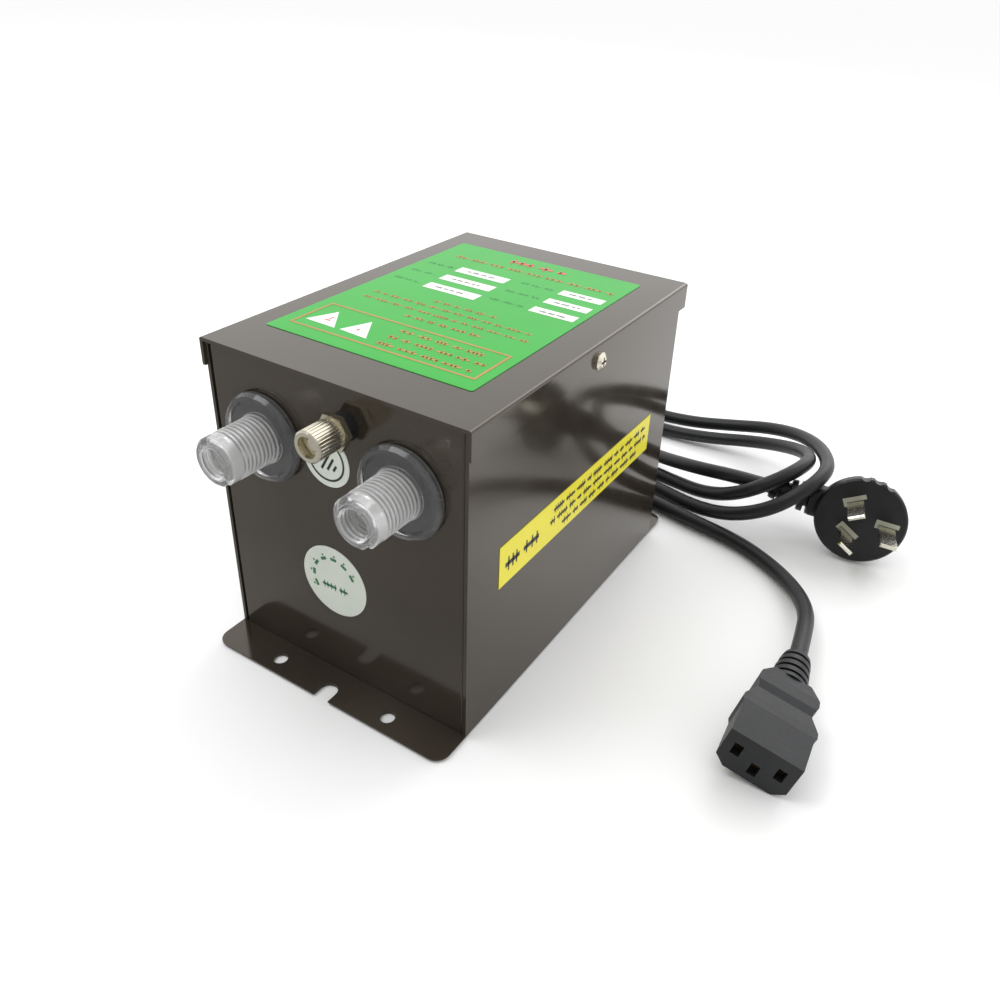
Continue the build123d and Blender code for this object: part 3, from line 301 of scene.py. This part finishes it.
RED_INK = surface("red ink", (0.55, 0.06, 0.05), (0.65, 0.09, 0.07), (0.3, 0.4), 900.0, 0.000005)
DARK_INK = surface("dark ink", (0.012, 0.013, 0.012), (0.02, 0.022, 0.02), (0.3, 0.4), 900.0, 0.000005)
FADED_INK = surface("green ink", (0.03, 0.33, 0.06), (0.04, 0.38, 0.08), (0.3, 0.4), 900.0, 0.000005)
STICKER_INK = surface("sticker ink", (0.02, 0.16, 0.06), (0.03, 0.20, 0.08), (0.3, 0.4), 900.0, 0.000005)
PRESSBOARD = surface("pressboard", (0.42, 0.36, 0.26), (0.52, 0.45, 0.34), (0.6, 0.75), 1200.0, 0.00006)
RESIN = surface("cast resin", (0.02, 0.02, 0.022), (0.035, 0.033, 0.032), (0.4, 0.6), 700.0, 0.0001)
WIRE_BROWN = surface("brown wire", (0.16, 0.06, 0.025), (0.2, 0.08, 0.035), (0.3, 0.4), 900.0, 0.00003)
WIRE_BLUE = surface("blue wire", (0.03, 0.12, 0.45), (0.04, 0.15, 0.52), (0.3, 0.4), 900.0, 0.00003)
WIRE_EARTH = surface("earth wire", (0.2, 0.42, 0.04), (0.5, 0.55, 0.03), (0.3, 0.4), 900.0, 0.00003,
                     patches=120.0)
WIRE_RED = surface("silicone lead", (0.5, 0.03, 0.02), (0.58, 0.045, 0.03), (0.35, 0.5), 900.0, 0.00003)

NODE_MATERIALS = {
    PAINT: "chassis front_panel rear_panel lid",
    PLATED: "lid_rivet_nuts inlet_screws inlet_nuts core_bolts core_nuts bracket_screws bracket_nuts "
            "transformer_bracket terminal_screws chassis_earth_stud chassis_earth_nut",
    SCREW: "lid_screws",
    NICKEL: "earth_stud earth_seat_nut earth_clamp_washer earth_thumb_nut earth_inner_nut earth_lug "
            "chassis_earth_lugs inlet_pins switch_terminals",
    BRASS: "outlet_contacts connector_contacts fuse_caps outlet_lock_nuts",
    BLADE: "plug_blades",
    ACRYLIC: "outlet_left outlet_right outlet_washers",
    GLASS: "fuse_tube",
    BLACK: "earth_insulator inlet_housing fuse_drawer switch_housing switch_rocker transformer_former",
    GLOSS_BLACK: "lead_plug",
    CONNECTOR: "lead_connector",
    GREEN: "top_label",
    YELLOW: "side_label",
    STICKER: "earth_label round_label",
    laminations(): "transformer_core",
    winding("copper winding", (0.24, 0.07, 0.02), (0.52, 0.2, 0.07), 260.0): "primary_winding",
    RESIN: "secondary_winding",
    PRESSBOARD: "insulating_sheet terminal_block",
    CORD: "mains_cord",
    WIRE_BROWN: "switch_feed_wire switched_live_wire",
    WIRE_BLUE: "neutral_wire",
    WIRE_EARTH: "earth_inlet_wire earth_front_wire",
    WIRE_RED: "high_voltage_lead_left high_voltage_lead_right",
}


def dress_nodes():
    """Give every CAD node its material."""
    for mat, names in NODE_MATERIALS.items():
        for name in names.split():
            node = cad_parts[name]
            node.data.materials.clear()
            node.data.materials.append(mat)


dress_nodes()


# ---- mains cord --------------------------------------------------------------
CORD_ROUTE = [
    (125.5, 29, 11.2), (122.5, 45, 8.0), (114.5, 60, 4.6), (101.5, 71.5, 3.2), (83, 80, 3.2),
    (60, 83, 3.2), (37, 88.0, 3.2), (4, 90, 3.2), (-34, 88, 3.2), (-66, 86.5, 3.2),
    (-94, 96, 3.2), (-112, 118, 3.2), (-112, 146, 3.2), (-96, 169, 3.2), (-70, 181, 3.2),
    (-42, 180, 3.2), (-16, 170, 3.2), (8, 162.5, 4.2), (30, 161, 7.0), (50, 162.5, 11),
    (68, 161.5, 16), (84, 153, 21.5), (97, 138, 26.5), (105, 121, 29.6), (107.3, 107.5, 31.0),
    (103.5, 94.5, 28.2), (92.5, 85.5, 19.2), (76.5, 85.5, 10.4), (59, 91, 5.0), (40, 97.5, 3.4),
    (16, 102.5, 3.2), (-10, 101, 3.2), (-38, 97, 3.2), (-66, 97.5, 3.2), (-90, 110, 3.2),
    (-100, 134, 3.2), (-89, 157, 3.2), (-66, 169, 3.2), (-42, 168.5, 3.2), (-18, 158.5, 3.2),
    (4, 151.5, 3.2), (24, 151, 3.6), (43, 153.5, 5.4), (60, 154.5, 9.2), (76, 149, 15),
    (89, 138.5, 21.5), (97, 124, 27.4), (98.2, 109, 31.0), (91.3, 96.3, 27.8), (77.3, 91.3, 18.2),
    (61, 98, 8.8), (41, 107.5, 3.8), (14, 112.5, 3.2), (-14, 110, 3.2), (-41, 106, 3.2),
    (-66, 107.5, 3.2), (-84, 119.5, 3.2), (-87.3, 140, 3.2), (-74.5, 155.5, 3.2), (-49.5, 159, 3.2),
    (-25, 148.5, 3.2), (-5, 137.5, 3.2), (13, 126.5, 4.0), (29, 116.5, 8.4), (43.5, 107.5, 14.0),
    (58.5, 101, 18.8),
]
CORD_START = (127.42, 14.35, 11.9)
CORD_END = [(74.81, 98.79, 21.93), (87.5, 101.35, 20.73)]



def make_cord():
    """Round three-core mains cord from the connector's relief to the plug's relief."""
    points = [CORD_START] + CORD_ROUTE + CORD_END
    data = bpy.data.curves.new("cord", "CURVE")
    data.dimensions = "3D"
    spline = data.splines.new("NURBS")
    spline.points.add(len(points) - 1)
    for slot, point in zip(spline.points, points):
        slot.co = (point[0] * MM, point[1] * MM, point[2] * MM, 1.0)
    spline.order_u = 3
    spline.use_endpoint_u = True
    spline.resolution_u = 10
    data.bevel_depth = 3.0 * MM
    data.bevel_resolution = 8
    data.use_fill_caps = True
    cord = bpy.data.objects.new("cord", data)
    bpy.context.scene.collection.objects.link(cord)
    data.materials.append(CORD)
    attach(cord, ROOT)
    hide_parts("mains_cord")


make_cord()


# ---- flat graphics -----------------------------------------------------------
def fixed_piece(name, vertices, faces, mat):
    """Mesh from points in millimetres, fixed to the enclosure."""
    mesh = bpy.data.meshes.new(name)
    mesh.from_pydata([tuple(c * MM for c in vertex) for vertex in vertices], [], faces)
    mesh.materials.append(mat)
    piece = bpy.data.objects.new(name, mesh)
    bpy.context.scene.collection.objects.link(piece)
    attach(piece, ROOT)


def turned(outline, hub, angle):
    """Outline turned by an angle in radians and moved to hub."""
    cosine = math.cos(angle)
    sine = math.sin(angle)
    return [(hub[0] + u * cosine - v * sine, hub[1] + u * sine + v * cosine) for u, v in outline]


def plate(name, outlines, place, lift, mat):
    """Thin printed shapes: outlines in millimetres, put on the object by place(u, v, lift)."""
    vertices = []
    faces = []
    for outline in outlines:
        first = len(vertices)
        vertices += [place(u, v, lift) for u, v in outline]
        faces.append(list(range(first, len(vertices))))
    fixed_piece(name, vertices, faces, mat)


def bar(u0, u1, v0, v1):
    """Rectangle outline."""
    return [(u0, v0), (u1, v0), (u1, v1), (u0, v1)]


def frame_bars(u0, u1, v0, v1, wide):
    """Four bars round a box."""
    return [bar(u0, u1, v0, v0 + wide), bar(u0, u1, v1 - wide, v1),
            bar(u0, u0 + wide, v0 + wide, v1 - wide), bar(u1 - wide, u1, v0 + wide, v1 - wide)]


def greek_line(u0, u1, v, tall, source):
    """A line of text stood in for by strokes of uneven length, with no letters."""
    strokes = []
    at = u0
    while at < u1:
        word = source.uniform(0.9, 2.3) * tall
        end = min(at + word, u1)
        if end - at > 0.4 * tall:
            strokes.append(bar(at, end, v - 0.16 * tall, v + 0.16 * tall))
            mark = at + source.uniform(0.1, 0.6) * tall
            while mark < end - 0.2 * tall:
                rise = source.choice((0.5, 0.32, 0.45))
                strokes.append(bar(mark, mark + 0.14 * tall, v - rise * tall, v + rise * tall))
                mark += source.uniform(0.4, 0.75) * tall
        at = end + 0.45 * tall
    return strokes


def ring(centre, inner, outer, count=72):
    """Ring drawn as quads."""
    quads = []
    for step in range(count):
        a, b = (2 * math.pi * (step + k) / count for k in (0, 1))
        quads.append([(centre[0] + r * math.cos(t), centre[1] + r * math.sin(t))
                      for r, t in ((inner, a), (outer, a), (outer, b), (inner, b))])
    return quads


def top_graphics():
    """Rating label: white value fields, an outlined panel and lines of greeked text."""
    source = random.Random(5)
    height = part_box("top_label")[1][2] / MM

    def place(u, v, lift):
        return (u, v, height + lift)

    fields = []
    for row, v in enumerate((29.4, 19.4, 9.4)):
        fields.append(bar(-24.4 + row * 0.3, -3.0 + row * 0.5, v - 2.7, v + 2.7))
    for v in (32.0, 22.0, 12.5):
        fields.append(bar(17.8, 34.8, v - 2.4, v + 2.4))
    triangles = [[(-34.6, -39.5), (-22.3, -39.8), (-30.0, -29.0)],
                 [(-20.4, -39.6), (-9.0, -40.4), (-16.1, -29.0)]]
    plate("label_fields", fields + triangles, place, 0.05, WHITE)
    orange = frame_bars(-37.2, 33.8, -44.2, -24.2, 0.9)
    orange += greek_line(-5.0, 29.0, -29.0, 3.2, source)
    orange += greek_line(-5.0, 31.0, -34.6, 3.2, source)
    orange += greek_line(-5.0, 30.0, -40.2, 3.2, source)
    orange += greek_line(-34.0, 30.0, -7.0, 2.6, source)
    orange += greek_line(-34.0, 34.0, -12.4, 2.6, source)
    orange += greek_line(-12.0, 14.0, -2.0, 2.6, source)
    orange += greek_line(-12.0, 18.0, -18.0, 3.0, source)
    orange += greek_line(-34.0, 34.0, 41.5, 3.4, source)
    plate("label_orange", orange, place, 0.06, ORANGE_INK)
    red = greek_line(-14.0, 10.0, 49.5, 5.0, source)
    red += [bar(-29.4, -27.2, -36.6, -35.9), bar(-28.6, -28.0, -35.6, -33.4), bar(-15.9, -14.9, -37.0, -36.0)]
    plate("label_red", red, place, 0.07, RED_INK)
    dark = []
    for v in (29.4, 19.4, 9.4):
        dark += greek_line(-38.0, -27.0, v, 2.4, source)
        dark += greek_line(1.0, 15.0, v + 2.6, 2.4, source)
    plate("label_words", dark, place, 0.055, FADED_INK)
    values = []
    for v in (29.4, 19.4, 9.4):
        values += greek_line(-20.0, -8.0, v, 1.5, source)
        values += greek_line(21.0, 31.0, v + 2.7, 1.5, source)
    plate("label_values", values, place, 0.08, DARK_INK)


def side_graphics():
    """Long strip with greeked text in two sizes."""
    source = random.Random(9)
    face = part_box("side_label")[1][0] / MM

    def place(u, v, lift):
        return (face + lift, u, v)

    words = greek_line(-48.5, -27.0, 56.0, 5.2, source)
    words += greek_line(-20.0, 48.0, 60.4, 3.0, source)
    words += greek_line(-22.0, 49.0, 56.4, 3.0, source)
    words += greek_line(-14.0, 42.0, 52.4, 3.0, source)
    plate("strip_words", words, place, 0.05, DARK_INK)


def earth_graphics():
    """Round earth mark: black ring, stem and three bars."""
    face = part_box("earth_label")[0][1] / MM
    centre = (-2.2, 84.4)

    def place(u, v, lift):
        return (u, face - lift, v)

    shapes = ring(centre, 6.4, 7.1)
    tilt = math.radians(60.0)
    marks = [((0, 4.4), 0.45, 2.6), ((0, 0.0), 3.9, 0.42), ((0, -1.9), 2.5, 0.42), ((0, -3.8), 1.2, 0.42)]
    for (across, along), half_u, half_v in marks:
        corners = bar(across - half_u, across + half_u, along - half_v, along + half_v)
        shapes.append(turned(corners, centre, tilt))
    plate("earth_mark", shapes, place, 0.05, DARK_INK)


def round_graphics():
    """Inspection sticker: green strokes round an arc and one short row."""
    source = random.Random(3)
    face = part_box("round_label")[0][1] / MM
    centre = (-2.6, 39.2)

    def place(u, v, lift):
        return (u, face - lift, v)

    shapes = []
    for step in range(7):
        angle = math.radians(205.0 - 29.0 * step)
        hub = (centre[0] + 8.6 * math.cos(angle), centre[1] + 8.6 * math.sin(angle))
        turn = angle - math.pi / 2
        for u0, v0, wide, tall in ((-1.2, -0.6, 2.4, 1.1), (source.uniform(-1.0, 0.6), 0.9, 0.7, 0.7)):
            shapes.append(turned(bar(u0, u0 + wide, v0, v0 + tall), hub, turn))
    shapes += greek_line(centre[0] - 5.2, centre[0] + 5.6, centre[1] - 2.6, 2.8, source)
    plate("sticker_strokes", shapes, place, 0.05, STICKER_INK)


top_graphics()
side_graphics()
earth_graphics()
round_graphics()


# ---- small visual pieces -------------------------------------------------------
PLUG_CENTRE = Vector((126.0, 100.1, 18.9))
PLUG_ANGLES = (12.4, 10.5, 5.4)  # yaw, pitch and turn in the face, degrees
BLADE_SPOTS = ((-3.96, 6.86, 30.0), (-3.96, -6.86, -30.0), (10.3, 0.0, 0.0))  # across, up, slant


def plug_axes():
    """Across, up and outward directions of the plug's face."""
    yaw, pitch, roll = (math.radians(a) for a in PLUG_ANGLES)
    outward = Vector((math.sin(yaw) * math.cos(pitch), -math.cos(yaw) * math.cos(pitch), math.sin(pitch)))
    level = Vector((math.cos(yaw), math.sin(yaw), 0))
    lift = level.cross(outward)
    across = level * math.cos(roll) + lift * math.sin(roll)
    return across, outward.cross(across), outward


def blade_shrouds():
    """Pale rectangular pads moulded round the roots of the three blades."""
    across, up, outward = plug_axes()

    def place(u, v, lift):
        return PLUG_CENTRE + across * u + up * v + outward * lift

    pads = []
    for x, y, slant in BLADE_SPOTS:
        turn = math.radians(slant)
        for u0, u1, v0, v1 in ((-4.6, 4.6, 0.95, 2.9), (-4.6, -3.25, -0.8, 0.95)):
            pads.append(turned(bar(u0, u1, v0, v1), (x, y), turn))
    plate("blade_pads", pads, place, 0.05, PAD)


def bore_threads():
    """Rings of the clear inside thread in both outlet bores."""
    count = 48
    rings = 9
    pitch = 1.5
    mouth = -88.2
    section = ((5.19, -0.6), (4.72, 0.0), (5.19, 0.6))  # radius and shift along the bore
    vertices = []
    faces = []
    for row in range(2 * rings):
        hub = OUTLET_SIDE if row % 2 else -OUTLET_SIDE
        depth = mouth + pitch * (row // 2)
        first = len(vertices)
        for step in range(count):
            angle = 2 * math.pi * step / count
            for radius, shift in section:
                vertices.append((hub + radius * math.cos(angle), depth + shift,
                                 OUTLET_HEIGHT + radius * math.sin(angle)))
        for step in range(count):
            here = first + 3 * step
            after = first + 3 * ((step + 1) % count)
            for k in range(3):
                faces.append((here + k, here + (k + 1) % 3, after + (k + 1) % 3, after + k))
    fixed_piece("bore_thread", vertices, faces, ACRYLIC)


bore_threads()
blade_shrouds()


# ---- stage and light ---------------------------------------------------------
def make_floor():
    """Plain pale floor with a painted reflection: from y = 0.02 m towards the front it turns darker for
    glossy rays only, so the front face reflects a dimmer floor.
    """
    reach = 40
    mesh = bpy.data.meshes.new("floor")
    mesh.from_pydata([(-reach, -reach, 0), (reach, -reach, 0), (reach, reach, 0), (-reach, reach, 0)], [],
                     [(0, 1, 2, 3)])
    floor = bpy.data.objects.new("floor", mesh)
    floor.location.z = -0.0002
    bpy.context.scene.collection.objects.link(floor)
    mat, tree, shader = material("floor")
    split = position_parts(tree)
    rays = tree.nodes.new("ShaderNodeLightPath")
    front = tree.nodes.new("ShaderNodeMapRange")
    front.inputs["From Min"].default_value = 0.02
    front.inputs["From Max"].default_value = -0.11
    tree.links.new(split.outputs["Y"], front.inputs["Value"])
    dim = tree.nodes.new("ShaderNodeMath")
    dim.operation = "MULTIPLY"
    tree.links.new(front.outputs["Result"], dim.inputs[0])
    tree.links.new(rays.outputs["Is Glossy Ray"], dim.inputs[1])
    # painted reflection: floor colour falls from 0.95 to 0.36, but only as seen by glossy rays
    tone = ramp(tree, dim.outputs[0], 0.95, 0.36, 0.0, 1.0)
    tree.links.new(tone.outputs["Color"], shader.inputs["Base Color"])
    shader.inputs["Roughness"].default_value = 0.9
    shader.inputs["Specular IOR Level"].default_value = 0.1
    mesh.materials.append(mat)


def make_world():
    """Soft white surroundings, brighter at the back."""
    world = bpy.data.worlds.new("studio")
    bpy.context.scene.world = world
    world.use_nodes = True
    sky = world.node_tree
    coords = sky.nodes.new("ShaderNodeTexCoord")
    compass = sky.nodes.new("ShaderNodeSeparateXYZ")
    level = sky.nodes.new("ShaderNodeMapRange")
    level.inputs["From Min"].default_value = -0.6
    level.inputs["From Max"].default_value = 0.35
    level.inputs["To Min"].default_value = 0.55
    level.inputs["To Max"].default_value = 1.35
    sky.links.new(coords.outputs["Generated"], compass.inputs["Vector"])
    sky.links.new(compass.outputs["Y"], level.inputs["Value"])
    sky.nodes["Background"].inputs["Color"].default_value = (1, 1, 1, 1)
    sky.links.new(level.outputs["Result"], sky.nodes["Background"].inputs["Strength"])


def area(name, place, target, size, power):
    """Square soft light aimed at a point."""
    data = bpy.data.lights.new(name, "AREA")
    data.size = size
    data.energy = power
    lamp = bpy.data.objects.new(name, data)
    bpy.context.scene.collection.objects.link(lamp)
    lamp.location = place
    aim = Vector(target) - Vector(place)
    lamp.rotation_euler = aim.to_track_quat("-Z", "Y").to_euler()


make_floor()
make_world()
area("key", (-0.5, -0.3, 1.1), (0, 0, 0.05), 0.7, 5.0)
area("back", (0.1, 1.1, 0.9), (0, 0, 0.05), 0.9, 5.0)
bpy.context.scene.view_settings.view_transform = "Standard"
